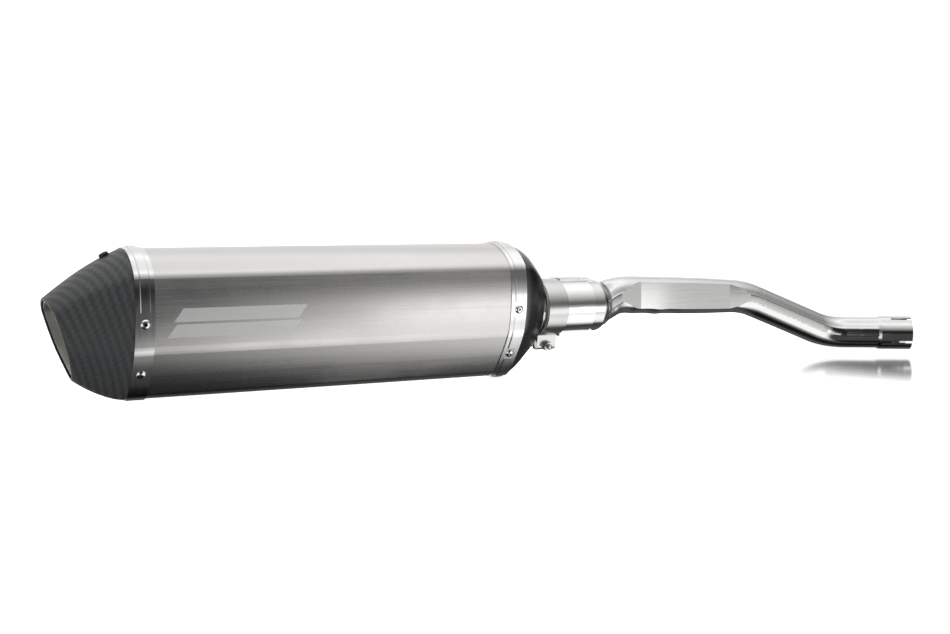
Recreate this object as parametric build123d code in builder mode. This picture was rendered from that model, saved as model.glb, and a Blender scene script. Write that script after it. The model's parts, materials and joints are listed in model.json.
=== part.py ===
"""Slip-on motorcycle exhaust muffler with its link pipe, as separate pieces.

Frame: millimetres, +X runs along the can's axis from the tail towards the engine, +Z is up.
The origin is the centre of the link pipe's socket mouth, where the bike's collector goes in.
Stations are distances along the can's axis from the can's rear end, positive towards the engine.
"""
from build123d import *
from math import atan2, copysign, cos, degrees, hypot, pi, radians, sin, sqrt
import os

os.makedirs("parts", exist_ok=True)

# ---------------------------------------------------------------- driving dimensions, mm
CAN_REAR = (-847.4, 48.0, 40.4)  # centre of the can's rear end
CAN_LENGTH = 361.1

# Can outline, half widths (y) and heights (z) about the can's axis
TOP_Z = 62.75
SHOULDER = (42.7, 42.0)
FLANK = (45.2, 12.0)
KNEE = (39.6, -20.0)
BELLY = (21.9, -46.7)
KEEL = (0.0, -70.6)
SHOULDER_RADIUS = 12.0
KNEE_RADIUS = 30.0
KEEL_RADIUS = 17.0

SKIN_WALL = 1.0
FLANGE_WALL = 1.2

BAND_WIDTH = 16.0
BAND_WALL = 0.9
RIB_WIDTH = 8.3
RIB_HEIGHT = 0.9
PAD_LENGTH = 14.0
REAR_RIB_END_Z = 12.0  # the rear band's rib stops here, above its side rivets

RIVET_HEAD_DIAMETER = 8.0
RIVET_HEAD_HEIGHT = 1.7
RIVET_SHANK_DIAMETER = 4.8
RIVET_EYE_DIAMETER = 2.4
RIVET_HOLE_DIAMETER = 4.9

CORE_DIAMETER = 51.9
CORE_WALL = 1.2
CORE_REAR = 4.0
CORE_FRONT = 370.0
CORE_HOLE_DIAMETER = 6.0
CORE_HOLE_ROWS = 22
CORE_HOLE_PITCH = 15.0
CORE_HOLES_ROUND = 8

CAP_LENGTH = 33.0
CAP_WALL = 1.4
# Cone outlines: distance past the can, rise of the middle, width and height shares
CAP_OUTLINES = [
    (6.0, 0.6, 0.955, 0.952),
    (12.6, 1.5, 0.88, 0.885),
    (19.3, 1.7, 0.785, 0.785),
    (26.0, 1.2, 0.675, 0.675),
]
STUB_DIAMETER = 54.0
STUB_BORE = 52.0
STUB_REAR = 364.0
STUB_MOUTH = 419.0
STUB_SLOT_WIDTH = 2.4
STUB_SLOT_LENGTH = 17.0

# Tail tip: top and bottom of each outline as (station, height), and its share of the can's width
TIP_OUTLINES = [
    ((0.0, 62.75), (0.0, -63.0), 1.0),
    ((-14.3, 56.1), (-9.5, -61.2), 0.955),
    ((-43.7, 38.0), (-31.5, -51.3), 0.80),
    ((-62.9, 23.4), (-42.1, -44.2), 0.676),
]
TIP_WALL = 2.4
LINER_WALL = 1.2
LINER_RECESS = 1.5
TIP_PLUG_REAR = -4.0
TIP_PLUG_FRONT = 4.0
LINER_SLEEVE_END = 12.0

TIP_SCREW_STATION = -13.5
TIP_SCREW_HEIGHT = 56.6
TIP_SCREW_SLOPE = 28.0
TIP_SCREW_DIAMETER = 5.0
TIP_SCREW_HEAD_DIAMETER = 8.5
TIP_SCREW_HEAD_HEIGHT = 2.8
TIP_SCREW_LENGTH = 9.0
TIP_SCREW_SOCKET = 3.0
TIP_TAB_WIDTH = 14.0
TIP_TAB_LENGTH = 12.5
TIP_TAB_WALL = 1.6
TIP_NUT_FLATS = 8.0
TIP_NUT_HEIGHT = 3.5

# Slip joint and link pipe
SPIGOT_DIAMETER = 50.8
SPIGOT_BORE = 48.0
SPIGOT_REAR = 372.4
SPIGOT_RING_END = 462.6
SPIGOT_FRONT = 470.4
GASKET_BORE = 50.9
GASKET_DIAMETER = 51.9
GASKET_REAR = 374.0
COLLAR_REAR = 419.6
COLLAR_FRONT = 450.4
COLLAR_DIAMETER = 53.0
PAD_HALF_WIDTH = 9.3
PAD_TOP_RADIUS = 28.5
PAD_CHAMFER_END = 456.4

TUBE_RADIUS = 16.85
TUBE_WALL = 1.2
TUBE_START_RADIUS = 20.0
TUBE_WELD_RISE = 0.9
SOCKET_BORE = 33.9
SOCKET_DIAMETER = 36.3
SOCKET_DEPTH = 33.0
SOCKET_STEP = 4.0
SOCKET_DIP = 0.4
SOCKET_SLOT_WIDTH = 3.0
SOCKET_SLOT_LENGTH = 22.0
SOCKET_SLOT_ANGLE = 31.0
LOWER_BEND = (-76.5, 48.0, 0.0)  # where the two straight runs of the link tube would meet
LOWER_BEND_RADIUS = 60.0
OVAL_RISE = 2.0  # growth of half the tube's height where its near side is pressed in
OUTLINE_HALF_STEPS = 12
FLAT_DEPTH = 5.0  # how far the pressed flat lies inside the round tube
FLAT_REAR = (492.0, 510.0)  # stations between which the flat's rear ramp deepens
FLAT_FRONT = (626.6, 650.5)
FLAT_REAR_RADIUS = 30.0
# Link tube sections: station, height above the can's axis, tilt, radius, share of the oval rise
TUBE_STATIONS = [
    (470.4, 0.0, 0.0, 20.0, 0.0),
    (474.5, 2.3, 5.0, 19.9, 0.0),
    (478.6, 4.4, 9.0, 19.6, 0.0),
    (482.8, 6.1, 11.0, 19.1, 0.05),
    (487.2, 7.5, 10.0, 18.4, 0.15),
    (492.0, 8.5, 7.5, 17.8, 0.35),
    (497.0, 9.0, 4.0, 17.3, 0.6),
    (502.5, 9.1, 0.5, 17.0, 0.8),
    (508.5, 8.85, -1.6, 16.9, 0.95),
    (515.0, 8.6, -2.3, 16.85, 1.0),
    (530.0, 7.99, -2.3, 16.85, 1.0),
    (546.0, 7.34, -2.3, 16.85, 1.0),
    (562.0, 6.69, -2.3, 16.85, 1.0),
    (580.0, 5.96, -2.3, 16.85, 0.97),
    (596.0, 5.31, -2.3, 16.85, 0.86),
    (612.0, 4.66, -2.3, 16.85, 0.66),
    (625.0, 4.13, -2.3, 16.85, 0.47),
    (636.0, 3.69, -2.5, 16.85, 0.32),
    (642.0, 3.27, -5.7, 16.85, 0.24),
    (648.0, 2.49, -9.0, 16.85, 0.16),
    (654.0, 1.36, -12.3, 16.85, 0.08),
    (661.0, -0.41, -16.2, 16.85, 0.02),
    (669.0, -3.03, -20.1, 16.85, 0.0),
]

# T-bolt clamp, in a frame turned about the can's axis: x along the bolt, y towards the axis
CLAMP_REAR = 397.4
CLAMP_WIDTH = 21.2
CLAMP_BORE = 54.1
CLAMP_WALL = 0.8
CLAMP_TURN = 8.0
BOLT_DROP = 36.5
BOLT_DIAMETER = 5.0
BOLT_END = -17.6
TRUNNION_DIAMETER = 8.0
TRUNNION_LENGTH = 19.0
HEAD_X = 8.5
TRUNNION_X = -4.2
LOOP_WALL = 0.8
LOOP_SLOT_WIDTH = 6.4
WASHER_DIAMETER = 10.0
WASHER_WALL = 1.0
NUT_FLATS = 8.0
NUT_HEIGHT = 4.4
FIT_GAP = 0.06  # radial gap of the clamp's loose fits


# ---------------------------------------------------------------- planes and outlines
def across(station):
    """Plane square to the can's axis: local x is the row's Y, local y is up."""
    x, y, z = CAN_REAR
    return Plane(origin=(x + station, y, z), x_dir=(0, 1, 0), z_dir=(1, 0, 0))


def lengthwise():
    """Upright plane through the can's axis: local x is the station, local y is up."""
    return Plane(origin=CAN_REAR, x_dir=(1, 0, 0), z_dir=(0, -1, 0))


def mirrored(point):
    return Vector(-point.X, point.Y)


def grown_circle(first, middle, last, grow):
    """Centre, grown radius and grown middle point of the arc through three points."""
    arc = ThreePointArc(first, middle, last)
    centre = arc.arc_center
    radius = arc.radius + grow
    return centre, radius, centre + (Vector(*middle) - centre).normalized() * radius


def crossing(one, two, near):
    """The point, of the two where a pair of circles cross, that lies nearest to a known point."""
    gap = two[0] - one[0]
    along = (gap.length**2 + one[1] ** 2 - two[1] ** 2) / (2 * gap.length)
    foot = one[0] + gap.normalized() * along
    side = Vector(-gap.Y, gap.X).normalized() * sqrt(one[1] ** 2 - along**2)
    return min((foot + side, foot - side), key=lambda point: (point - Vector(*near)).length)


def can_outline(plane, width=1.0, height=1.0, grow=0.0):
    """The can's rounded shield outline as a face on a plane, scaled, then grown all round."""
    shoulder, flank, knee, belly, keel = (
        (point[0] * width, point[1] * height) for point in (SHOULDER, FLANK, KNEE, BELLY, KEEL)
    )
    crown_arc = grown_circle((-shoulder[0], shoulder[1]), (0, TOP_Z * height), shoulder, grow)
    flank_arc = grown_circle(shoulder, flank, knee, grow)
    belly_arc = grown_circle(knee, belly, keel, grow)
    other_belly = (mirrored(belly_arc[0]), belly_arc[1])
    top_corner = crossing(crown_arc, flank_arc, shoulder)
    knee_corner = crossing(flank_arc, belly_arc, knee)
    keel_corner = crossing(belly_arc, other_belly, keel)
    with BuildSketch(plane) as outline:
        with BuildLine():
            ThreePointArc(mirrored(top_corner), crown_arc[2], top_corner)
            ThreePointArc(top_corner, flank_arc[2], knee_corner)
            ThreePointArc(knee_corner, belly_arc[2], keel_corner)
            ThreePointArc(keel_corner, mirrored(belly_arc[2]), mirrored(knee_corner))
            ThreePointArc(mirrored(knee_corner), mirrored(flank_arc[2]), mirrored(top_corner))
        make_face()
        fillet(outline.vertices().sort_by(Axis.Y)[-2:], radius=SHOULDER_RADIUS * width + grow)
        fillet(outline.vertices().sort_by(Axis.Y)[:1], radius=KEEL_RADIUS * width + grow)
        knees = [v for v in outline.vertices() if abs(v.Y - knee_corner.Y) < 0.01]
        fillet(knees, radius=KNEE_RADIUS * width + grow)
    return outline.sketch


def local_angles(face, plane):
    """Angles of a face's corners about a plane's origin, in degrees, rising."""
    local = [plane.to_local_coords(vertex.center()) for vertex in face.vertices()]
    return sorted(degrees(atan2(point.Y, point.X)) for point in local)


def matched_circle(plane, radius, angles):
    """A circle cut into one arc per corner angle, so that it lofts cleanly to an outline."""
    with BuildSketch(plane) as circle:
        with BuildLine():
            for start, end in zip(angles, angles[1:] + [angles[0] + 360]):
                CenterArc((0, 0), radius, start, end - start)
        make_face()
    return circle.sketch


def ring(plane, outer, inner, length):
    """A plain round tube from a plane, along its normal."""
    with BuildPart() as tube:
        with BuildSketch(plane):
            Circle(outer)
            Circle(inner, mode=Mode.SUBTRACT)
        extrude(amount=length)
    return tube.part


def shell(plane, outer_grow, inner_grow, length):
    """A ring that follows the can's outline."""
    with BuildPart() as wall:
        extrude(can_outline(plane, grow=outer_grow), amount=length)
        extrude(can_outline(plane, grow=inner_grow), amount=length, mode=Mode.SUBTRACT)
    return wall.part


CAN_AXIS = Axis(origin=CAN_REAR, direction=(1, 0, 0))


# ---------------------------------------------------------------- rivet places
def rivet_planes(station):
    """One plane per rivet of a band: origin on the skin, normal pointing outwards."""
    flank_arc = ThreePointArc(SHOULDER, FLANK, KNEE)
    belly_arc = ThreePointArc(KNEE, BELLY, KEEL)
    spots = [((0.0, TOP_Z), (0.0, 1.0))]
    for arc, share in ((flank_arc, 0.63), (belly_arc, 0.36)):
        point = arc @ share
        along = arc % share
        for side in (1, -1):
            spots.append(((side * point.X, point.Y), (-side * along.Y, along.X)))
    x, y, z = CAN_REAR
    return [
        Plane(
            origin=(x + station, y + spot[0], z + spot[1]),
            x_dir=(1, 0, 0),
            z_dir=(0, normal[0], normal[1]),
        )
        for spot, normal in spots
    ]


REAR_RIVETS = rivet_planes(BAND_WIDTH / 2)
FRONT_RIVETS = rivet_planes(CAN_LENGTH - BAND_WIDTH / 2)


def rivet_holes(planes):
    """Cutters for the rivet shanks."""
    with BuildPart() as cutters:
        for plane in planes:
            with BuildSketch(plane):
                Circle(RIVET_HOLE_DIAMETER / 2)
            extrude(amount=8, both=True)
    return cutters.part


def rivets(planes):
    """Domed blind rivets with a drilled eye and a bulb behind the flange."""
    head = RIVET_HEAD_DIAMETER / 2
    shank = RIVET_SHANK_DIAMETER / 2
    eye = RIVET_EYE_DIAMETER / 2
    back = -(SKIN_WALL + FLANGE_WALL + 0.15)
    bulb = shank + 0.9
    with BuildPart() as group:
        for plane in planes:
            side = Plane(origin=plane.origin, x_dir=plane.x_dir, z_dir=-plane.y_dir)
            with BuildSketch(side):
                with BuildLine():
                    crown = (eye, BAND_WALL + RIVET_HEAD_HEIGHT)
                    rim = (head, BAND_WALL + 0.5)
                    Polyline((eye, back - 3.2), crown)
                    ThreePointArc(crown, (head * 0.78, BAND_WALL + RIVET_HEAD_HEIGHT * 0.74), rim)
                    Polyline(
                        rim,
                        (head, BAND_WALL),
                        (shank, BAND_WALL),
                        (shank, back),
                        (bulb, back),
                        (bulb, back - 1.8),
                        (shank, back - 3.2),
                        (eye, back - 3.2),
                    )
                make_face()
            revolve(axis=Axis(origin=plane.origin, direction=plane.z_dir))
    return group.part


# ---------------------------------------------------------------- can skin and bands
rear_holes = rivet_holes(REAR_RIVETS)
front_holes = rivet_holes(FRONT_RIVETS)

with BuildPart() as outer_sleeve:
    add(shell(across(0), 0, -SKIN_WALL, CAN_LENGTH))
    add(rear_holes, mode=Mode.SUBTRACT)
    add(front_holes, mode=Mode.SUBTRACT)


def band(station, planes, holes, rib_floor=None):
    """Strap with a raised centre rib that is pressed flat at each rivet."""
    margin = (BAND_WIDTH - RIB_WIDTH) / 2
    with BuildPart() as rib:
        add(shell(across(station + margin), BAND_WALL + RIB_HEIGHT, BAND_WALL / 2, RIB_WIDTH))
        ends = rib.faces().filter_by(GeomType.PLANE).sort_by(Axis.X)
        rims = ends[0].outer_wire().edges() + ends[-1].outer_wire().edges()
        chamfer(rims, length=RIB_HEIGHT * 0.6)
        for plane in planes:
            with BuildSketch(plane.offset(BAND_WALL)):
                Rectangle(RIB_WIDTH + 2, PAD_LENGTH)
            extrude(amount=6, mode=Mode.SUBTRACT)
        if rib_floor is not None:
            with BuildSketch(across(station).offset(-1)):
                with Locations((0, rib_floor)):
                    Rectangle(200, 200, align=(Align.CENTER, Align.MAX))
            extrude(amount=BAND_WIDTH + 2, mode=Mode.SUBTRACT)
    with BuildPart() as strap:
        add(shell(across(station), BAND_WALL, 0, BAND_WIDTH))
        add(rib.part)
        add(holes, mode=Mode.SUBTRACT)
    return strap


front_band = band(CAN_LENGTH - BAND_WIDTH, FRONT_RIVETS, front_holes)
rear_band = band(0.0, REAR_RIVETS, rear_holes, rib_floor=REAR_RIB_END_Z)

with BuildPart() as front_rivets:
    add(rivets(FRONT_RIVETS))

with BuildPart() as rear_rivets:
    add(rivets(REAR_RIVETS))

# ---------------------------------------------------------------- front cap, stub and weld
cap_base = across(CAN_LENGTH)
cap_end = across(CAN_LENGTH + CAP_LENGTH)
corner_angles = local_angles(can_outline(cap_base), cap_base)


def cap_cone(shrink):
    """Solid that narrows from the can's outline to the stub, with a rounded shoulder."""
    sections = [can_outline(cap_base, grow=-shrink)]
    for station, rise, width, height in CAP_OUTLINES:
        plane = across(CAN_LENGTH + station)
        plane.origin = plane.origin + Vector(0, 0, rise)
        sections.append(can_outline(plane, width=width, height=height, grow=-shrink))
    sections.append(
        matched_circle(cap_end, STUB_DIAMETER / 2 + CAP_WALL - shrink, corner_angles)
    )
    with BuildPart() as cone:
        loft(sections)
    return cone.part


def cap_hollow():
    """Room inside the cap: the cone less its wall, but never narrower than the stub."""
    with BuildPart() as hollow:
        add(cap_cone(CAP_WALL))
        with BuildSketch(cap_base):
            Circle(STUB_DIAMETER / 2)
        extrude(amount=CAP_LENGTH)
    return hollow.part


with BuildPart() as front_cap:
    add(cap_cone(0.0))
    add(cap_hollow(), mode=Mode.SUBTRACT)
    add(
        shell(
            across(CAN_LENGTH - BAND_WIDTH + 1),
            -SKIN_WALL,
            -SKIN_WALL - FLANGE_WALL,
            BAND_WIDTH - 1,
        )
    )
    add(front_holes, mode=Mode.SUBTRACT)

with BuildPart() as inlet_stub:
    add(ring(across(STUB_REAR), STUB_DIAMETER / 2, STUB_BORE / 2, STUB_MOUTH - STUB_REAR))
    with BuildSketch(across(STUB_MOUTH - STUB_SLOT_LENGTH)):
        for turn in (45, 135):
            with Locations(Rot(0, 0, turn)):
                Rectangle(STUB_SLOT_WIDTH, STUB_DIAMETER + 4)
    extrude(amount=STUB_SLOT_LENGTH + 1, mode=Mode.SUBTRACT)


def weld_bead(station, radius, width, height):
    """Rounded bead of weld round a tube."""
    with BuildPart() as bead:
        with BuildSketch(lengthwise()):
            with BuildLine():
                ends = ((station - width / 2, radius), (station + width / 2, radius))
                ThreePointArc(ends[0], (station, radius + height), ends[1])
                Line(ends[1], ends[0])
            make_face()
        revolve(axis=CAN_AXIS)
    return bead


CAP_NECK = CAN_LENGTH + CAP_LENGTH
stub_weld = weld_bead(CAP_NECK + 1.5, STUB_DIAMETER / 2, 2.8, 1.5)

# ---------------------------------------------------------------- inside of the can
with BuildPart() as perforated_core:
    add(
        ring(
            across(CORE_REAR),
            CORE_DIAMETER / 2,
            CORE_DIAMETER / 2 - CORE_WALL,
            CORE_FRONT - CORE_REAR,
        )
    )
    first_row = (CAN_LENGTH - CORE_HOLE_PITCH * (CORE_HOLE_ROWS - 1)) / 2
    for turn in range(CORE_HOLES_ROUND // 2):
        turned = Plane(CAN_REAR, x_dir=(1, 0, 0), z_dir=Vector(0, 0, 1).rotate(Axis.X, 45 * turn))
        with BuildSketch(turned):
            with Locations(*[(first_row + CORE_HOLE_PITCH * row, 0) for row in range(CORE_HOLE_ROWS)]):
                Circle(CORE_HOLE_DIAMETER / 2)
        extrude(amount=CORE_DIAMETER, both=True, mode=Mode.SUBTRACT)

PACKING_REAR = BAND_WIDTH + 1
PACKING_FRONT = CAN_LENGTH - BAND_WIDTH - 1
PACKING_GAP = 0.3
with BuildPart() as packing:
    extrude(
        can_outline(across(PACKING_REAR), grow=-SKIN_WALL - PACKING_GAP),
        amount=PACKING_FRONT - PACKING_REAR,
    )
    with BuildSketch(across(PACKING_REAR)):
        Circle(CORE_DIAMETER / 2 + PACKING_GAP)
    extrude(amount=PACKING_FRONT - PACKING_REAR, mode=Mode.SUBTRACT)

# ---------------------------------------------------------------- tail tip


def tip_plane(outline):
    """Plane through a tip outline's top and bottom points, centred on the can's outline."""
    top, bottom, _ = outline
    rise = hypot(top[0] - bottom[0], top[1] - bottom[1])
    up = ((top[0] - bottom[0]) / rise, (top[1] - bottom[1]) / rise)
    share = 63.0 / (TOP_Z + 63.0)
    centre = (bottom[0] + up[0] * rise * share, bottom[1] + up[1] * rise * share)
    x, y, z = CAN_REAR
    return Plane(
        origin=(x + centre[0], y, z + centre[1]),
        x_dir=(0, 1, 0),
        z_dir=(up[1], 0, -up[0]),
    )


def tip_section(outline, shrink):
    """One outline of the tail tip as a face, inset by shrink."""
    top, bottom, width = outline
    height = hypot(top[0] - bottom[0], top[1] - bottom[1]) / (TOP_Z + 63.0)
    return can_outline(tip_plane(outline), width=width, height=height, grow=-shrink)


def tip_solid(shrink):
    with BuildPart() as body:
        loft([tip_section(outline, shrink) for outline in TIP_OUTLINES])
    return body.part


TIP_LIP = SKIN_WALL + FLANGE_WALL + 0.2


def at_can(station, height):
    """Row position of a point on the can's upright middle plane."""
    return Vector(CAN_REAR[0] + station, CAN_REAR[1], CAN_REAR[2] + height)


slope = radians(TIP_SCREW_SLOPE)
screw_plane = Plane(
    origin=at_can(TIP_SCREW_STATION, TIP_SCREW_HEIGHT),
    x_dir=(0, 1, 0),
    z_dir=(-sin(slope), 0, cos(slope)),
)


def screw_disc(radius, low, high):
    """Cylinder about the tip screw's axis, between two heights over the tip's surface."""
    with BuildPart() as disc:
        with BuildSketch(screw_plane.offset(low)):
            Circle(radius)
        extrude(amount=high - low)
    return disc.part


screw_hole = screw_disc(TIP_SCREW_DIAMETER / 2 + 0.15, -TIP_SCREW_LENGTH - 1, 4)

with BuildPart() as carbon_tip:
    add(tip_solid(0.0))
    add(tip_solid(TIP_WALL), mode=Mode.SUBTRACT)
    add(shell(across(TIP_PLUG_REAR), -TIP_LIP, -TIP_LIP - TIP_WALL, TIP_PLUG_FRONT - TIP_PLUG_REAR))
    add(screw_hole, mode=Mode.SUBTRACT)

with BuildPart() as tip_screw:
    add(screw_disc(TIP_SCREW_HEAD_DIAMETER / 2, 0.15, TIP_SCREW_HEAD_HEIGHT))
    fillet(tip_screw.edges().group_by(Axis.Z)[-1], radius=TIP_SCREW_HEAD_HEIGHT * 0.6)
    add(screw_disc(TIP_SCREW_DIAMETER / 2, -TIP_SCREW_LENGTH, 0.5))
    with BuildSketch(screw_plane.offset(TIP_SCREW_HEAD_HEIGHT - 1.6)):
        RegularPolygon(TIP_SCREW_SOCKET / 2, 6, major_radius=False)
    extrude(amount=3, mode=Mode.SUBTRACT)

TAB_TOP = -TIP_WALL - 1.1
with BuildPart() as tip_nut:
    with BuildSketch(screw_plane.offset(TAB_TOP - TIP_TAB_WALL - TIP_NUT_HEIGHT)):
        RegularPolygon(TIP_NUT_FLATS / 2, 6, major_radius=False)
        Circle(TIP_SCREW_DIAMETER / 2 + 0.05, mode=Mode.SUBTRACT)
    extrude(amount=TIP_NUT_HEIGHT)

# Steel plate inside the can's rear end, with the tab that the tip is screwed to
PLATE_FRONT = 15.0
PLATE_WALL = 1.5
TAB_ARM_REAR = -7.2
TAB_ARM_HEIGHT = 54.3
with BuildPart() as rear_cap:
    add(shell(across(1), -SKIN_WALL, -SKIN_WALL - FLANGE_WALL, PLATE_FRONT - 1))
    extrude(can_outline(across(PLATE_FRONT - PLATE_WALL), grow=-SKIN_WALL), amount=PLATE_WALL)
    add(rear_holes, mode=Mode.SUBTRACT)
    with BuildSketch(screw_plane.offset(TAB_TOP - TIP_TAB_WALL)):
        Rectangle(TIP_TAB_WIDTH, TIP_TAB_LENGTH)
    extrude(amount=TIP_TAB_WALL)
    with BuildSketch(lengthwise()):
        with Locations((TAB_ARM_REAR, TAB_ARM_HEIGHT)):
            Rectangle(PLATE_FRONT - 0.5 - TAB_ARM_REAR, TIP_TAB_WALL, align=Align.MIN)
    extrude(amount=TIP_TAB_WIDTH / 2, both=True)
    with BuildSketch(across(PLATE_FRONT - PLATE_WALL - 1)):
        Circle(CORE_DIAMETER / 2)
    extrude(amount=PLATE_WALL + 2, mode=Mode.SUBTRACT)
    add(screw_hole, mode=Mode.SUBTRACT)


def liner_solid(shrink):
    """Tapered duct from the core's round end to just inside the tip's mouth."""
    mouth = TIP_OUTLINES[-1]
    mouth_face = tip_section(mouth, TIP_WALL + 0.4 + shrink)
    recess = tip_plane(mouth).z_dir * LINER_RECESS
    round_plane = across(-2)
    angles = local_angles(can_outline(round_plane), round_plane)
    with BuildPart() as duct:
        loft(
            [
                mouth_face.moved(Location(recess)),
                matched_circle(round_plane, CORE_DIAMETER / 2 + LINER_WALL - shrink, angles),
            ]
        )
    return duct.part


with BuildPart() as tail_liner:
    add(liner_solid(0.0))
    add(liner_solid(LINER_WALL), mode=Mode.SUBTRACT)
    add(ring(across(-2), CORE_DIAMETER / 2 + LINER_WALL, CORE_DIAMETER / 2, LINER_SLEEVE_END + 2))

# ---------------------------------------------------------------- slip joint
with BuildPart() as spigot:
    bore = SPIGOT_BORE / 2
    outer = SPIGOT_DIAMETER / 2
    wall = outer - bore
    neck = TUBE_START_RADIUS
    with BuildSketch(lengthwise()):
        with BuildLine():
            Polyline((SPIGOT_REAR, bore), (SPIGOT_REAR, outer), (SPIGOT_RING_END, outer))
            shoulder = ThreePointArc(
                (SPIGOT_RING_END, outer),
                (SPIGOT_RING_END + 5.2, outer - 2.6),
                (SPIGOT_FRONT, neck),
            )
            Line((SPIGOT_FRONT, neck), (SPIGOT_FRONT, neck - wall))
            ThreePointArc(
                (SPIGOT_FRONT, neck - wall),
                (SPIGOT_RING_END + 4.2, outer - 3.9),
                (SPIGOT_RING_END - 0.6, bore),
            )
            Line((SPIGOT_RING_END - 0.6, bore), (SPIGOT_REAR, bore))
        make_face()
    revolve(axis=CAN_AXIS)

with BuildPart() as sleeve_gasket:
    add(ring(across(GASKET_REAR), GASKET_DIAMETER / 2, GASKET_BORE / 2, STUB_MOUTH - GASKET_REAR - 1))

with BuildPart() as spigot_collar:
    add(ring(across(COLLAR_REAR), COLLAR_DIAMETER / 2, SPIGOT_DIAMETER / 2, COLLAR_FRONT - COLLAR_REAR))
    with BuildSketch(lengthwise()):
        with BuildLine():
            Polyline(
                (COLLAR_REAR, 0),
                (COLLAR_REAR, PAD_TOP_RADIUS),
                (COLLAR_FRONT, PAD_TOP_RADIUS),
                (PAD_CHAMFER_END, SPIGOT_DIAMETER / 2 + 0.4),
                (PAD_CHAMFER_END, 0),
                (COLLAR_REAR, 0),
            )
        make_face()
        mirror(about=Plane.XZ)
    extrude(amount=PAD_HALF_WIDTH, both=True)
    with BuildSketch(across(COLLAR_REAR - 1)):
        Circle(SPIGOT_DIAMETER / 2)
    extrude(amount=PAD_CHAMFER_END - COLLAR_REAR + 2, mode=Mode.SUBTRACT)


# ---------------------------------------------------------------- link tube
def tube_outline(plane, radius, oval, wall):
    """Tube section: round when oval is 0, and taller as oval nears 1."""
    half_height = radius + OVAL_RISE * oval - wall
    half_width = radius - wall
    upper = []
    for step in range(OUTLINE_HALF_STEPS + 1):
        angle = pi * step / OUTLINE_HALF_STEPS
        upper.append((half_width * cos(angle), half_height * round(sin(angle), 9)))
    lower = [(side, -up) for side, up in upper]
    with BuildSketch(plane) as section:
        with BuildLine():
            Spline(*upper, tangents=((0, 1), (0, -1)))
            Spline(*lower, tangents=((0, -1), (0, 1)))
        make_face()
    return section.sketch


def tube_stations():
    """Planes, radii and oval share of the link tube from the spigot to its round run."""
    stations = []
    for station, rise, tilt, radius, oval in TUBE_STATIONS:
        centre = at_can(station, rise)
        lean = radians(tilt)
        plane = Plane(origin=centre, x_dir=(0, 1, 0), z_dir=(cos(lean), 0, sin(lean)))
        stations.append((plane, radius, oval))
    return stations


def press_tool(wall):
    """What the press takes off the tube's near side: a flat with a ramp at each end."""
    near = CAN_REAR[1] - TUBE_RADIUS + wall
    outside = near - 10
    rear_start, rear_end = FLAT_REAR
    front_start, front_end = FLAT_FRONT
    rear_slope = FLAT_DEPTH / (rear_end - rear_start)
    front_slope = FLAT_DEPTH / (front_end - front_start)
    corners = [
        (CAN_REAR[0] + rear_start - 10 / rear_slope, outside),
        (CAN_REAR[0] + rear_end, near + FLAT_DEPTH),
        (CAN_REAR[0] + front_start, near + FLAT_DEPTH),
        (CAN_REAR[0] + front_end + 10 / front_slope, outside),
    ]
    with BuildPart() as tool:
        with BuildSketch(Plane.XY.offset(CAN_REAR[2] - 40)) as outline:
            Polygon(*corners, align=None)
            fillet(outline.vertices().sort_by_distance((*corners[1], 0))[0], FLAT_REAR_RADIUS)
        extrude(amount=80)
    return tool.part


def formed_tube(wall):
    with BuildPart() as body:
        loft([tube_outline(plane, radius, oval, wall) for plane, radius, oval in tube_stations()])
        add(press_tool(wall), mode=Mode.SUBTRACT)
    return body.part


def round_run(wall):
    """The bent round run of the link tube as a solid rod that continues the formed stretch."""
    start, radius, oval = tube_stations()[-1]
    section = tube_outline(start, radius, oval, wall)
    with BuildPart() as rod:
        with BuildLine():
            FilletPolyline(start.origin, LOWER_BEND, (0, 0, 0), radius=LOWER_BEND_RADIUS)
        sweep(sections=section)
    return rod.part


mouth_direction = (Vector(0, 0, 0) - Vector(*LOWER_BEND)).normalized()
mouth_plane = Plane(
    origin=(0, 0, 0),
    x_dir=mouth_direction.cross(Vector(0, 0, 1)),
    z_dir=mouth_direction,
)


def socket_plug(radius, tube, beyond):
    """Socket outline as a solid: a round end, then a short cone that dips below the tube's face."""
    with BuildPart() as plug:
        with BuildSketch(mouth_plane.offset(-SOCKET_DEPTH)):
            Circle(radius)
        extrude(amount=SOCKET_DEPTH + beyond)
        with BuildSketch(mouth_plane.offset(-SOCKET_DEPTH)):
            Circle(radius)
        with BuildSketch(mouth_plane.offset(-SOCKET_DEPTH - SOCKET_STEP)):
            Circle(tube - SOCKET_DIP)
        loft()
    return plug.part


with BuildPart() as link_tube:
    add(formed_tube(0.0))
    add(round_run(0.0))
    add(socket_plug(SOCKET_DIAMETER / 2, TUBE_RADIUS, 0))
    add(formed_tube(TUBE_WALL), mode=Mode.SUBTRACT)
    add(round_run(TUBE_WALL), mode=Mode.SUBTRACT)
    add(socket_plug(SOCKET_BORE / 2, TUBE_RADIUS - TUBE_WALL, 1), mode=Mode.SUBTRACT)
    with BuildSketch(mouth_plane.offset(-SOCKET_SLOT_LENGTH)):
        for turn in (0, 90):
            with Locations(Rot(0, 0, SOCKET_SLOT_ANGLE + turn)):
                Rectangle(SOCKET_DIAMETER + 4, SOCKET_SLOT_WIDTH)
    extrude(amount=SOCKET_SLOT_LENGTH + 1, mode=Mode.SUBTRACT)

with BuildPart() as tube_weld:
    with Locations((0, 0, TUBE_WELD_RISE)):
        add(weld_bead(SPIGOT_FRONT + 1.7, TUBE_START_RADIUS - 0.3, 3.2, 1.9).part)
    add(formed_tube(0.0), mode=Mode.SUBTRACT)

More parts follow.
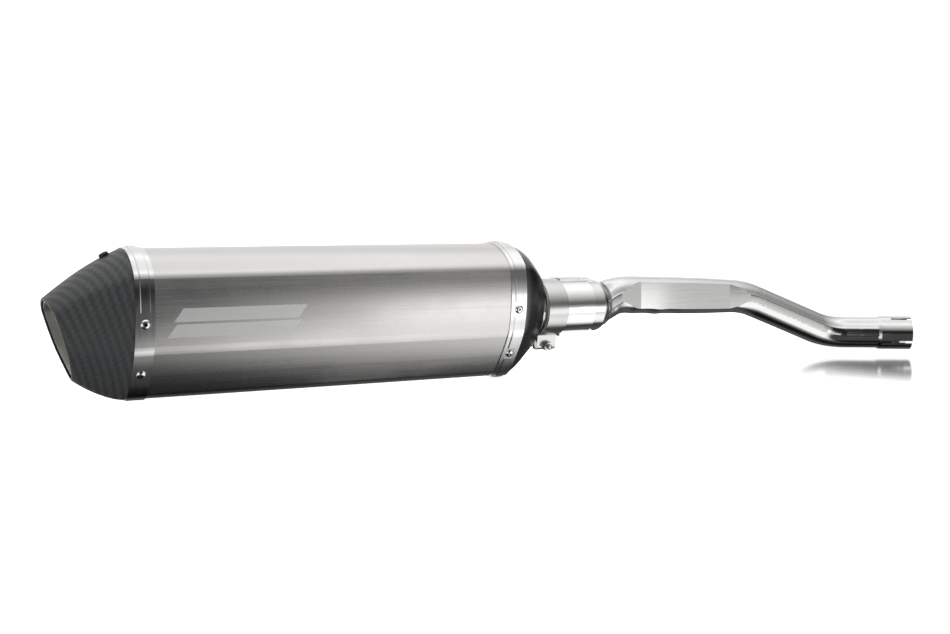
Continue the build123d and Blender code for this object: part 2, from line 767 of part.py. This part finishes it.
# ---------------------------------------------------------------- T-bolt clamp
turn = radians(CLAMP_TURN)
clamp_plane = Plane(
    origin=at_can(CLAMP_REAR, 0),
    x_dir=(0, cos(turn), sin(turn)),
    z_dir=(1, 0, 0),
)
clamp_middle = clamp_plane.offset(CLAMP_WIDTH / 2)
loop_radius = TRUNNION_DIAMETER / 2 + LOOP_WALL


def bolt_plane(place):
    """Plane square to the clamp bolt at a place along it, facing the T head."""
    return Plane(
        origin=clamp_middle.from_local_coords((place, -BOLT_DROP, 0)),
        x_dir=(1, 0, 0),
        z_dir=clamp_plane.x_dir,
    )


def loop_strap(place):
    """Outline of the folded loop round one cross pin, with both its legs up to the ring."""
    ring_radius = CLAMP_BORE / 2 + CLAMP_WALL / 2
    for side in (-1, 1):
        leg = place + side * (loop_radius - LOOP_WALL / 2)
        ring_y = sqrt(ring_radius**2 - leg**2)
        with Locations((leg, -(ring_y + BOLT_DROP) / 2)):
            Rectangle(LOOP_WALL, BOLT_DROP - ring_y)
    with Locations((place, -BOLT_DROP)):
        Circle(loop_radius)


with BuildPart() as clamp_band:
    with BuildSketch(clamp_plane):
        Circle(CLAMP_BORE / 2 + CLAMP_WALL)
        loop_strap(HEAD_X)
        loop_strap(TRUNNION_X)
        Circle(CLAMP_BORE / 2, mode=Mode.SUBTRACT)
        with Locations((TRUNNION_X + loop_radius, 0)):
            Rectangle(
                HEAD_X - TRUNNION_X - 2 * loop_radius,
                2 * BOLT_DROP,
                align=(Align.MIN, Align.MAX),
                mode=Mode.SUBTRACT,
            )
        with Locations((HEAD_X, -BOLT_DROP), (TRUNNION_X, -BOLT_DROP)):
            Circle(TRUNNION_DIAMETER / 2 + FIT_GAP, mode=Mode.SUBTRACT)
    extrude(amount=CLAMP_WIDTH)
    with BuildSketch(clamp_middle):
        with Locations((HEAD_X, -BOLT_DROP)):
            Rectangle(25, LOOP_SLOT_WIDTH, align=(Align.MAX, Align.CENTER))
    extrude(amount=LOOP_SLOT_WIDTH / 2, both=True, mode=Mode.SUBTRACT)


def cross_pin(place):
    """Round cross pin that lies in a loop of the clamp band."""
    with BuildPart() as pin:
        with BuildSketch(clamp_middle):
            with Locations((place, -BOLT_DROP)):
                Circle(TRUNNION_DIAMETER / 2)
        extrude(amount=TRUNNION_LENGTH / 2, both=True)
        chamfer(pin.edges().filter_by(GeomType.CIRCLE), length=0.6)
    return pin.part


with BuildPart() as clamp_t_bolt:
    add(cross_pin(HEAD_X))
    with BuildSketch(bolt_plane(BOLT_END)):
        Circle(BOLT_DIAMETER / 2)
    extrude(amount=HEAD_X - BOLT_END)
    chamfer(clamp_t_bolt.faces().sort_by(Axis(clamp_plane.origin, clamp_plane.x_dir))[0].edges(), length=0.6)

with BuildPart() as clamp_trunnion:
    add(cross_pin(TRUNNION_X))
    with BuildSketch(bolt_plane(TRUNNION_X - TRUNNION_DIAMETER)):
        Circle(BOLT_DIAMETER / 2 + FIT_GAP)
    extrude(amount=2 * TRUNNION_DIAMETER, mode=Mode.SUBTRACT)

washer_face = TRUNNION_X - loop_radius - 0.1
with BuildPart() as clamp_washer:
    with BuildSketch(bolt_plane(washer_face - WASHER_WALL)):
        Circle(WASHER_DIAMETER / 2)
        Circle(BOLT_DIAMETER / 2 + FIT_GAP, mode=Mode.SUBTRACT)
    extrude(amount=WASHER_WALL)

nut_face = washer_face - WASHER_WALL - 0.1
with BuildPart() as clamp_nut:
    with BuildSketch(bolt_plane(nut_face - NUT_HEIGHT)):
        RegularPolygon(NUT_FLATS / 2, 6, major_radius=False)
    extrude(amount=NUT_HEIGHT)
    with BuildSketch(bolt_plane(nut_face - NUT_HEIGHT)):
        Circle(NUT_FLATS / 2 + 0.25)
    extrude(amount=NUT_HEIGHT, taper=-12, mode=Mode.INTERSECT)
    with BuildSketch(bolt_plane(nut_face - NUT_HEIGHT)):
        Circle(BOLT_DIAMETER / 2 + FIT_GAP)
    extrude(amount=NUT_HEIGHT, mode=Mode.SUBTRACT)

for name, piece in {
    "outer_sleeve": outer_sleeve,
    "front_band": front_band,
    "rear_band": rear_band,
    "front_rivets": front_rivets,
    "rear_rivets": rear_rivets,
    "front_cap": front_cap,
    "inlet_stub": inlet_stub,
    "stub_weld": stub_weld,
    "perforated_core": perforated_core,
    "packing": packing,
    "rear_cap": rear_cap,
    "tail_liner": tail_liner,
    "carbon_tip": carbon_tip,
    "tip_screw": tip_screw,
    "tip_nut": tip_nut,
    "spigot": spigot,
    "sleeve_gasket": sleeve_gasket,
    "spigot_collar": spigot_collar,
    "tube_weld": tube_weld,
    "link_tube": link_tube,
    "clamp_band": clamp_band,
    "clamp_t_bolt": clamp_t_bolt,
    "clamp_trunnion": clamp_trunnion,
    "clamp_washer": clamp_washer,
    "clamp_nut": clamp_nut,
}.items():
    piece.part.label = name
    export_step(piece.part, f"parts/{name}.step")
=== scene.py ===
"""Looks for a slip-on motorcycle exhaust muffler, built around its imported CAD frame."""
import json
import math

import bmesh
import bpy
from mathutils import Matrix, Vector


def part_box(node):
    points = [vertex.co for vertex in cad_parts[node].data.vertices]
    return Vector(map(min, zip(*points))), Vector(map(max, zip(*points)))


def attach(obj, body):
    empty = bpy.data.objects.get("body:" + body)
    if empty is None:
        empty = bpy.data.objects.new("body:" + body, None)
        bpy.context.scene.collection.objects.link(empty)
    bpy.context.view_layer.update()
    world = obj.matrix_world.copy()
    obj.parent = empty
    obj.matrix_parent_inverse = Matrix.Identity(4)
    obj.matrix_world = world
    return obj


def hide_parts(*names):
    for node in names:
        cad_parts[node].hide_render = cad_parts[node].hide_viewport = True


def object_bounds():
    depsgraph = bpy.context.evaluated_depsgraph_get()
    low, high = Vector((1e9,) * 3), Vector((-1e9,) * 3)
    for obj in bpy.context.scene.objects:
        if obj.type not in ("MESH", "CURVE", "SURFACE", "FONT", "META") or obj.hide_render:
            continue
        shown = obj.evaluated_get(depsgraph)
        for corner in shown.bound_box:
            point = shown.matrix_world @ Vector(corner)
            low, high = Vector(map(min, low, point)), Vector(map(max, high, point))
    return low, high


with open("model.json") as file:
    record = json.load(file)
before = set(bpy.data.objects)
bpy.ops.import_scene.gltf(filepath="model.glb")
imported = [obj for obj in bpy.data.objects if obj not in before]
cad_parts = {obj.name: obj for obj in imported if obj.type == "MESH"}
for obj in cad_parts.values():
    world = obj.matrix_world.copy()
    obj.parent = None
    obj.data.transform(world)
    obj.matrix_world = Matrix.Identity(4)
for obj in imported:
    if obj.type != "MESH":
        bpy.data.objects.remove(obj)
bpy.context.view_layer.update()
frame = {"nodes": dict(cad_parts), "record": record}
nodes = frame["nodes"]
joints = {joint["name"]: joint for joint in frame["record"]["behaviour"]["joints"]}

# The can's axis runs along X through the slip joint's axis
_, AXIS_Y, AXIS_Z = joints["muffler_clocking"]["pos_m"]
CAN_REAR_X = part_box("outer_sleeve")[0][0]
CAN_MEAN_RADIUS = 0.045

# Plain panel on the can's near side: two slanted satin bars with no lettering
PANEL_START = 0.029
PANEL_END = 0.136
PANEL_STEP = 0.004
PANEL_SLANT = 0.7
PANEL_BARS = ((0.0034, 0.0145), (-0.0095, 0.0014))
PANEL_ROUGHER = 0.24

CARBON_TOW = 0.0017

# Clamp bolt: a point on its axis, the axis, and two directions square to it
BOLT_POINT = Vector(joints["nut_turn"]["pos_m"])
BOLT_AXIS = Vector(joints["nut_turn"]["axis"])
BOLT_SIDE = Vector((1.0, 0.0, 0.0))
BOLT_UP = BOLT_AXIS.cross(BOLT_SIDE)
THREAD_PITCH = 0.0008
THREAD_REACH = 0.00256

BEAD_DEPTH = 0.0019
BEAD_SIDES = 12
STEPS_PER_PUDDLE = 12

# Floor sheet: flat in front, then a quarter round, then upright
FLOOR_GAP = 0.0002
FLOOR_SIDE = 9.0
FLOOR_FRONT = -4.0
FLOOR_BACK = 4.0
FLOOR_CURVE = 2.0
FLOOR_CURVE_STEPS = 12
FLOOR_TOP = 8.0

LIGHT_AIM = (-0.45, 0.0, 0.04)
CAMERA_PLACE = (-1.1044, -1.0479, 0.1344)
CAMERA_VIEW = (0.4714, 0.8782, -0.0809)


# ---------------------------------------------------------------- shader nodes
class Nodes:
    """Short calls that add shader nodes to a tree."""

    def __init__(self, tree, coordinates):
        self.tree = tree
        self.place = tree.nodes.new("ShaderNodeTexCoord").outputs[coordinates]

    def node(self, kind, inputs=None, **settings):
        made = self.tree.nodes.new("ShaderNode" + kind)
        for key, value in settings.items():
            setattr(made, key, value)
        for key, value in (inputs or {}).items():
            self.feed(made.inputs[key], value)
        return made

    def feed(self, socket, value):
        if isinstance(value, bpy.types.NodeSocket):
            self.tree.links.new(value, socket)
        else:
            socket.default_value = value

    def math(self, operation, first, second=0.0, third=0.0):
        node = self.node("Math", {0: first, 1: second, 2: third}, operation=operation)
        return node.outputs[0]

    def split(self):
        """X, Y and Z of the place."""
        parts = self.node("SeparateXYZ", {"Vector": self.place})
        return [parts.outputs[axis] for axis in "XYZ"]

    def stretched(self, scale, turn=(0, 0, 0)):
        node = self.node("Mapping", {"Vector": self.place, "Scale": scale, "Rotation": turn})
        return node.outputs["Vector"]

    def noise(self, vector, scale, detail=3.0, roughness=0.5):
        inputs = {"Vector": vector, "Scale": scale, "Detail": detail, "Roughness": roughness}
        return self.node("TexNoise", inputs).outputs["Fac"]

    def fade(self, value, start, end, first=0.0, last=1.0):
        """Goes smoothly from one level to another while a value goes from start to end."""
        inputs = {"Value": value, "From Min": start, "From Max": end, "To Min": first, "To Max": last}
        return self.node("MapRange", inputs, interpolation_type="SMOOTHSTEP").outputs[0]

    def window(self, value, low, high, soft):
        """1 while a value lies between low and high, with soft edges."""
        up = self.fade(value, low - soft, low + soft)
        down = self.fade(value, high - soft, high + soft, 1.0, 0.0)
        return self.math("MULTIPLY", up, down)

    def ramp(self, value, *stops):
        node = self.node("ValToRGB", {"Fac": value})
        elements = node.color_ramp.elements
        while len(elements) < len(stops):
            elements.new(0.5)
        for element, (position, colour) in zip(elements, stops):
            element.position = position
            element.color = rgba(*colour)
        return node.outputs["Color"]

    def grey_ramp(self, value, *stops):
        return self.ramp(value, *[(at, (level, level, level)) for at, level in stops])

    def mix(self, share, first, second):
        node = self.node("Mix", data_type="RGBA")
        self.feed(node.inputs["Factor"], share)
        self.feed(node.inputs["A"], first)
        self.feed(node.inputs["B"], second)
        return node.outputs["Result"]

    def bump(self, height, distance, strength):
        inputs = {"Height": height, "Distance": distance, "Strength": strength}
        return self.node("Bump", inputs).outputs["Normal"]


class Shader(Nodes):
    """A new material with a Principled shader."""

    def __init__(self, name):
        self.material = bpy.data.materials.new(name)
        self.material.use_nodes = True
        super().__init__(self.material.node_tree, "Object")
        self.surface = self.tree.nodes["Principled BSDF"]

    def set(self, **values):
        for socket, value in values.items():
            self.surface.inputs[socket.replace("_", " ")].default_value = value

    def link(self, socket, value):
        self.tree.links.new(value, self.surface.inputs[socket])

    def linked(self, socket):
        """What feeds a socket so far."""
        return self.surface.inputs[socket].links[0].from_socket

    def around_can(self):
        """Angle about the can's axis, 0 at the near side, and the height above that axis."""
        _, across, height = self.split()
        side = self.math("SUBTRACT", AXIS_Y, across)
        rise = self.math("SUBTRACT", height, AXIS_Z)
        return self.math("ARCTAN2", rise, side), rise


def rgba(red, green, blue):
    return (red, green, blue, 1.0)


# ---------------------------------------------------------------- metals
def metal(name, colour, roughness, grain, grain_size=220.0, grain_depth=0.00002, tint=0.08):
    """Metal with a directional grain, uneven polish and a slight colour drift."""
    shader = Shader(name)
    shader.set(Metallic=1.0)
    streaks = shader.noise(shader.stretched(grain), grain_size, 4.0, 0.6)
    cloud = shader.noise(shader.place, 28.0, 4.0, 0.6)
    low = rgba(*[level * (1 - tint) for level in colour])
    high = rgba(*[min(level * (1 + tint), 1) for level in colour])
    patches = shader.grey_ramp(cloud, (0.38, 0.0), (0.62, 1.0))
    base = shader.mix(streaks, low, high)
    shader.link("Base Color", shader.mix(shader.math("MULTIPLY", patches, 0.25), base, low))
    by_streaks = shader.math("MULTIPLY_ADD", streaks, roughness * 0.5, roughness * 0.5)
    shader.link("Roughness", shader.math("MULTIPLY_ADD", cloud, roughness * 0.3, by_streaks))
    shader.link("Normal", shader.bump(streaks, grain_depth, 0.6))
    return shader


def titanium():
    """Satin titanium sheet, brushed along the can, with a plain two-bar panel."""
    colour = (0.62, 0.61, 0.6)
    shader = metal("titanium_brushed", colour, 0.3, (0.012, 1.0, 1.0), 1100.0, 0.000012, 0.035)
    shader.set(Anisotropic=0.55, Anisotropic_Rotation=0.25)
    station, across, _ = shader.split()
    _, rise = shader.around_can()
    slanted = shader.math("MULTIPLY_ADD", rise, -PANEL_SLANT, station)
    along = shader.math("SUBTRACT", slanted, CAN_REAR_X)
    bars = []
    for index, (low, high) in enumerate(PANEL_BARS):
        shift = PANEL_STEP * index
        tall = shader.window(rise, low, high, 0.0003)
        long = shader.window(along, PANEL_START + shift, PANEL_END + shift, 0.0004)
        bars.append(shader.math("MULTIPLY", tall, long))
    near = shader.math("LESS_THAN", across, AXIS_Y)
    panel = shader.math("MULTIPLY", shader.math("MAXIMUM", *bars), near)
    frost = shader.noise(shader.place, 1800.0, 2.0)
    frosted = shader.mix(frost, rgba(0.8, 0.8, 0.79), rgba(0.92, 0.92, 0.91))
    shader.link("Base Color", shader.mix(panel, shader.linked("Base Color"), frosted))
    rougher = shader.math("MULTIPLY", panel, PANEL_ROUGHER)
    shader.link("Roughness", shader.math("ADD", shader.linked("Roughness"), rougher))
    return shader.material


def polished(name, colour, roughness):
    return metal(name, colour, roughness, (1.0, 0.08, 0.08), 500.0, 0.00001, 0.05).material


def scratched():
    """Bright collar steel with fine crossed scratches."""
    shader = metal("scratched_steel", (0.8, 0.8, 0.79), 0.06, (0.3, 1.0, 1.0), 320.0, tint=0.06)
    crossed = shader.noise(shader.stretched((0.12, 1.0, 1.0), (0, 0, 0.5)), 700.0, 5.0, 0.75)
    other = shader.noise(shader.stretched((1.0, 0.15, 0.3), (0.4, 0, 0)), 420.0, 4.0, 0.7)
    marks = shader.math("MULTIPLY", crossed, other)
    shader.link("Normal", shader.bump(marks, 0.00012, 0.8))
    return shader.material


def weld():
    """Rippled weld metal with straw and blue heat tint."""
    shader = Shader("weld_metal")
    shader.set(Metallic=1.0)
    tint = shader.noise(shader.place, 90.0, 2.0)
    straw = (0.34, 0.31, 0.27)
    bright = (0.5, 0.47, 0.43)
    blue = (0.3, 0.3, 0.36)
    shader.link("Base Color", shader.ramp(tint, (0.3, straw), (0.5, bright), (0.68, blue)))
    shader.link("Roughness", shader.math("MULTIPLY_ADD", tint, 0.2, 0.22))
    station, _, _ = shader.split()
    angle, _ = shader.around_can()
    puddles = shader.math("MULTIPLY_ADD", shader.math("SINE", angle), 0.3, angle)
    phase = shader.math("MULTIPLY_ADD", station, 900.0, shader.math("MULTIPLY", puddles, 42.0))
    ripple = shader.math("ABSOLUTE", shader.math("SINE", phase))
    grain = shader.noise(shader.place, 1400.0)
    rough = shader.math("MULTIPLY_ADD", grain, 0.2, ripple)
    shader.link("Normal", shader.bump(rough, 0.0005, 0.9))
    return shader.material


def threaded():
    """Plated steel with a helical thread on what lies close to the bolt's axis, and painted shade darkening
    the thread's valleys.
    """
    shader = metal("plated_thread", (0.62, 0.61, 0.58), 0.2, (0.2, 1.0, 1.0), 500.0)
    inputs = {0: shader.place, 1: tuple(BOLT_POINT)}
    offset = shader.node("VectorMath", inputs, operation="SUBTRACT").outputs["Vector"]
    sizes = []
    for direction in (BOLT_AXIS, BOLT_SIDE, BOLT_UP):
        dot = shader.node("VectorMath", {0: offset, 1: tuple(direction)}, operation="DOT_PRODUCT")
        sizes.append(dot.outputs["Value"])
    along, side, up = sizes
    turn = shader.math("DIVIDE", shader.math("ARCTAN2", up, side), 2 * math.pi)
    pitch = shader.math("ADD", shader.math("DIVIDE", along, THREAD_PITCH), turn)
    crest = shader.math("PINGPONG", pitch, 0.5)
    square = shader.math("ADD", shader.math("POWER", side, 2.0), shader.math("POWER", up, 2.0))
    shank = shader.math("LESS_THAN", shader.math("SQRT", square), THREAD_REACH)
    height = shader.math("MULTIPLY", crest, shank)
    shader.link("Normal", shader.bump(height, 0.0009, 1.0))
    # Painted shade: the thread's valleys are mixed towards near black in the base colour, standing in for
    # shadow in the grooves
    valley_shade_mask = shader.math("MULTIPLY", shader.math("LESS_THAN", crest, 0.22), shank)
    painted_valley_shade = shader.math("MULTIPLY", valley_shade_mask, 0.75)
    shader.link("Base Color", shader.mix(painted_valley_shade, shader.linked("Base Color"), rgba(0.05, 0.05, 0.05)))
    return shader.material


# ---------------------------------------------------------------- other finishes
def carbon():
    """Matt twill: tows run over two and under two, and the pattern steps at every third tow."""
    shader = Shader("carbon_twill")
    station, _, _ = shader.split()
    angle, _ = shader.around_can()
    across = shader.math("MULTIPLY", angle, CAN_MEAN_RADIUS / CARBON_TOW)
    along = shader.math("DIVIDE", station, CARBON_TOW)
    row = shader.math("FLOOR", along)
    column = shader.math("FLOOR", across)
    step = shader.math("FLOOR", shader.math("DIVIDE", column, 3.0))
    diagonal = shader.math("FLOORED_MODULO", shader.math("ADD", row, step), 4.0)
    over = shader.math("LESS_THAN", diagonal, 1.5)
    rounds = []
    for tows in (along, across):
        wave = shader.math("SINE", shader.math("MULTIPLY", tows, math.pi))
        rounds.append(shader.math("ABSOLUTE", wave))
    height = shader.node("Mix", {"Factor": over, "A": rounds[0], "B": rounds[1]}).outputs[0]
    fibres = shader.noise(shader.place, 2600.0, 2.0)
    cloud = shader.noise(shader.place, 60.0, 3.0)
    dark = rgba(0.018, 0.019, 0.02)
    weave = shader.mix(over, dark, rgba(0.034, 0.036, 0.039))
    shader.link("Base Color", shader.mix(shader.math("MULTIPLY", cloud, 0.5), weave, dark))
    by_tow = shader.math("MULTIPLY_ADD", over, -0.1, 0.52)
    shader.link("Roughness", shader.math("MULTIPLY_ADD", fibres, 0.1, by_tow))
    shader.set(Coat_Weight=0.12, Coat_Roughness=0.35)
    shader.link("Normal", shader.bump(height, 0.00022, 0.7))
    return shader.material


def plain(name, colour, roughness, grain_scale, grain_depth, metallic=0.0):
    """Non-directional finish: mottled colour, uneven gloss and fine grain."""
    shader = Shader(name)
    shader.set(Metallic=metallic)
    grain = shader.noise(shader.place, grain_scale, 3.0, 0.6)
    cloud = shader.noise(shader.place, 60.0, 3.0)
    low = rgba(*[level * 0.75 for level in colour])
    high = rgba(*[min(level * 1.2, 1) for level in colour])
    shader.link("Base Color", shader.mix(cloud, low, high))
    shader.link("Roughness", shader.math("MULTIPLY_ADD", grain, 0.2, roughness - 0.1))
    shader.link("Normal", shader.bump(grain, grain_depth, 0.6))
    return shader.material


# One finish for each material slot of the record
finishes = {
    "titanium_skin": titanium(),
    "polished_stainless": polished("polished_band", (0.74, 0.74, 0.73), 0.16),
    "satin_stainless": metal("satin_stainless", (0.6, 0.6, 0.59), 0.27, (1.0, 0.05, 0.05), 420.0).material,
    "dark_cap": metal("dark_satin_cap", (0.16, 0.16, 0.165), 0.3, (1.0, 0.2, 0.2), 260.0).material,
    "link_stainless": metal("link_steel", (0.68, 0.68, 0.67), 0.13, (0.06, 1.0, 1.0), 380.0).material,
    "weld_metal": weld(),
    "carbon": carbon(),
    "black_screw": plain("black_oxide", (0.02, 0.02, 0.022), 0.35, 1500.0, 0.00002, 0.6),
    "rivet_metal": polished("bright_rivet", (0.82, 0.82, 0.82), 0.1),
    "zinc": metal("plated_fastener", (0.58, 0.57, 0.54), 0.22, (0.2, 1.0, 1.0), 500.0).material,
    "graphite": plain("graphite_gasket", (0.07, 0.07, 0.072), 0.45, 2200.0, 0.00006, 0.3),
    "glass_wool": plain("fibre_packing", (0.75, 0.68, 0.5), 0.9, 900.0, 0.0006),
}
# Pieces whose finish differs from their slot's
own_finishes = {
    "spigot_collar": scratched(),
    "clamp_t_bolt": threaded(),
    "tail_liner": metal("liner_steel", (0.82, 0.82, 0.78), 0.5, (1.0, 0.1, 0.1), 300.0).material,
}

for part in frame["record"]["subparts"]:
    piece = nodes[part["node"]]
    finish = own_finishes.get(part["node"], finishes[part["material_slot"]])
    piece.data.materials.clear()
    piece.data.materials.append(finish)


# ---------------------------------------------------------------- weld beads
def placed(name, mesh, finish):
    """Smooth object of a mesh in one finish."""
    mesh.materials.append(finish)
    for face in mesh.polygons:
        face.use_smooth = True
    made = bpy.data.objects.new(name, mesh)
    bpy.context.scene.collection.objects.link(made)
    return made


def joined(name, rings, finish):
    """Closed ring of equal loops, made into a smooth object."""
    mesh = bpy.data.meshes.new(name)
    count = len(rings[0])
    faces = []
    for one in range(len(rings)):
        two = (one + 1) % len(rings)
        for at in range(count):
            after = (at + 1) % count
            faces.append((one * count + at, one * count + after, two * count + after, two * count + at))
    mesh.from_pydata([point for ring in rings for point in ring], [], faces)
    return placed(name, mesh, finish)


def bead(name, node, body, lift, puddles):
    """Weld bead of overlapping puddles, with chevron ripples, in place of a plain CAD bead."""
    low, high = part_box(node)
    middle = (low[0] + high[0]) / 2
    half_width = (high[0] - low[0]) / 2
    crown = (high[1] - low[1]) / 2
    root = crown - BEAD_DEPTH
    rings = []
    steps = puddles * STEPS_PER_PUDDLE
    for step in range(steps):
        angle = 2 * math.pi * step / steps
        ring = []
        for at in range(BEAD_SIDES + 1):
            side = math.cos(math.pi * at / BEAD_SIDES)
            phase = puddles * angle + 1.1 * side * side + 0.35 * math.sin(5 * angle)
            puddle = 1 - 0.3 * (0.5 + 0.5 * math.cos(phase)) ** 2
            swell = puddle * math.sqrt(max(1 - side * side, 0))
            radius = root + BEAD_DEPTH * swell
            x = middle + side * half_width * (0.94 + 0.06 * math.cos(phase))
            y = AXIS_Y + radius * math.cos(angle)
            z = AXIS_Z + lift + radius * math.sin(angle)
            ring.append((x, y, z))
        rings.append(ring)
    made = joined(name, rings, finishes["weld_metal"])
    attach(made, body)
    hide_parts(node)


bead("stub_bead", "stub_weld", "muffler", 0.0, 58)
bead("tube_bead", "tube_weld", "link_pipe", 0.0009, 46)


# ---------------------------------------------------------------- stage
def floor_finish():
    """Pale sheet, a little glossy under the pipe's front end only."""
    shader = Shader("pale_floor")
    speckle = shader.noise(shader.place, 3.0, 2.0)
    shader.link("Base Color", shader.mix(speckle, rgba(0.9, 0.9, 0.9), rgba(0.93, 0.93, 0.93)))
    shader.set(Roughness=0.35, Specular_IOR_Level=0.25)
    shader.set(Emission_Color=rgba(1, 1, 1), Emission_Strength=0.72)
    station, depth, _ = shader.split()
    under_pipe = shader.fade(station, -0.34, -0.1, 0.0, 0.92)
    close = shader.fade(depth, 0.12, 0.4, 1.0, 0.0)
    share = shader.math("MULTIPLY", under_pipe, close)
    gloss = shader.node("BsdfAnisotropic", {"Color": rgba(1, 1, 1), "Roughness": 0.12})
    blend = shader.node("MixShader", {0: share, 1: shader.surface.outputs[0], 2: gloss.outputs[0]})
    end = shader.tree.nodes["Material Output"]
    shader.tree.links.new(blend.outputs[0], end.inputs["Surface"])
    return shader.material


def backdrop():
    """One pale sheet: a wide floor that curves up far behind the object."""
    profile = [(FLOOR_FRONT, 0.0), (FLOOR_BACK, 0.0)]
    for step in range(1, FLOOR_CURVE_STEPS + 1):
        angle = math.pi / 2 * step / FLOOR_CURVE_STEPS
        depth = FLOOR_BACK + FLOOR_CURVE * math.sin(angle)
        profile.append((depth, FLOOR_CURVE - FLOOR_CURVE * math.cos(angle)))
    profile.append((FLOOR_BACK + FLOOR_CURVE, FLOOR_TOP))
    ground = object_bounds()[0][2] - FLOOR_GAP
    shape = bmesh.new()
    rows = []
    for depth, height in profile:
        ends = (-FLOOR_SIDE, FLOOR_SIDE)
        rows.append([shape.verts.new((side, depth, ground + height)) for side in ends])
    for low, high in zip(rows, rows[1:]):
        shape.faces.new((low[0], low[1], high[1], high[0]))
    mesh = bpy.data.meshes.new("floor")
    shape.to_mesh(mesh)
    shape.free()
    sheet = placed("floor", mesh, floor_finish())
    sheet.visible_glossy = False


def studio():
    """World light: bands of bright and dark by direction, white where the camera sees it."""
    world = bpy.data.worlds.new("studio")
    bpy.context.scene.world = world
    world.use_nodes = True
    sky = Nodes(world.node_tree, "Generated")
    back = sky.tree.nodes["Background"]
    back.inputs["Color"].default_value = rgba(1, 1, 1)
    x, y, z = sky.split()
    upright = sky.math("MULTIPLY_ADD", z, 0.5, 0.5)
    bands = sky.grey_ramp(
        upright,
        (0.0, 0.03),
        (0.035, 0.08),
        (0.07, 0.55),
        (0.115, 1.35),
        (0.19, 1.45),
        (0.31, 0.95),
        (0.45, 0.85),
        (0.515, 0.4),
        (0.57, 0.14),
        (0.64, 0.17),
        (0.75, 0.52),
        (0.86, 0.95),
        (0.94, 1.4),
        (1.0, 1.0),
    )
    turn = sky.math("ARCTAN2", x, sky.math("MULTIPLY", y, -1.0))
    right = sky.math("MULTIPLY", sky.fade(turn, 0.24, 0.44, 0.05, 1.0), sky.fade(turn, 1.15, 1.5, 1.0, 0.08))
    left = sky.math("MULTIPLY", sky.fade(turn, -0.5, -0.3, 1.0, 0.0), sky.fade(z, -0.75, -0.45, 0.02, 1.0))
    behind = sky.math("MULTIPLY", sky.fade(y, 0.3, 0.6), sky.fade(z, -0.3, -0.1))
    above = sky.fade(z, 0.1, 0.4)
    mask = sky.math("MAXIMUM", sky.math("MAXIMUM", right, left), above)
    lit = sky.math("MAXIMUM", sky.math("MULTIPLY", bands, mask), behind)
    seen = sky.node("LightPath").outputs["Is Camera Ray"]
    strength = sky.node("Mix", {"Factor": seen, "A": lit, "B": 1.0}).outputs[0]
    sky.tree.links.new(strength, back.inputs["Strength"])


def softbox(name, place, aim, size, power, reflected=False):
    data = bpy.data.lights.new(name, "AREA")
    data.shape = "RECTANGLE"
    data.size, data.size_y = size
    data.energy = power
    lamp = bpy.data.objects.new(name, data)
    bpy.context.scene.collection.objects.link(lamp)
    lamp.location = place
    lamp.rotation_euler = (Vector(aim) - Vector(place)).to_track_quat("-Z", "Y").to_euler()
    lamp.visible_glossy = reflected


backdrop()
studio()
softbox("overhead", (-0.5, -0.2, 1.6), LIGHT_AIM, (2.4, 1.6), 12.0)
softbox("front_fill", (-0.3, -1.8, 0.7), LIGHT_AIM, (1.6, 0.8), 6.0)
softbox("side_card", (0.12, -0.95, -0.24), (0.12, 0.0, -0.24), (0.6, 0.46), 0.72, True)

# ---------------------------------------------------------------- camera
camera_data = bpy.data.cameras.new("camera")
camera_data.lens = 50.0
camera_data.sensor_width = 36.0
camera_data.clip_end = 50.0
camera = bpy.data.objects.new("camera", camera_data)
bpy.context.scene.collection.objects.link(camera)
camera.location = CAMERA_PLACE
camera.rotation_euler = Vector(CAMERA_VIEW).to_track_quat("-Z", "Y").to_euler()
bpy.context.scene.camera = camera
bpy.context.scene.view_settings.view_transform = "Standard"
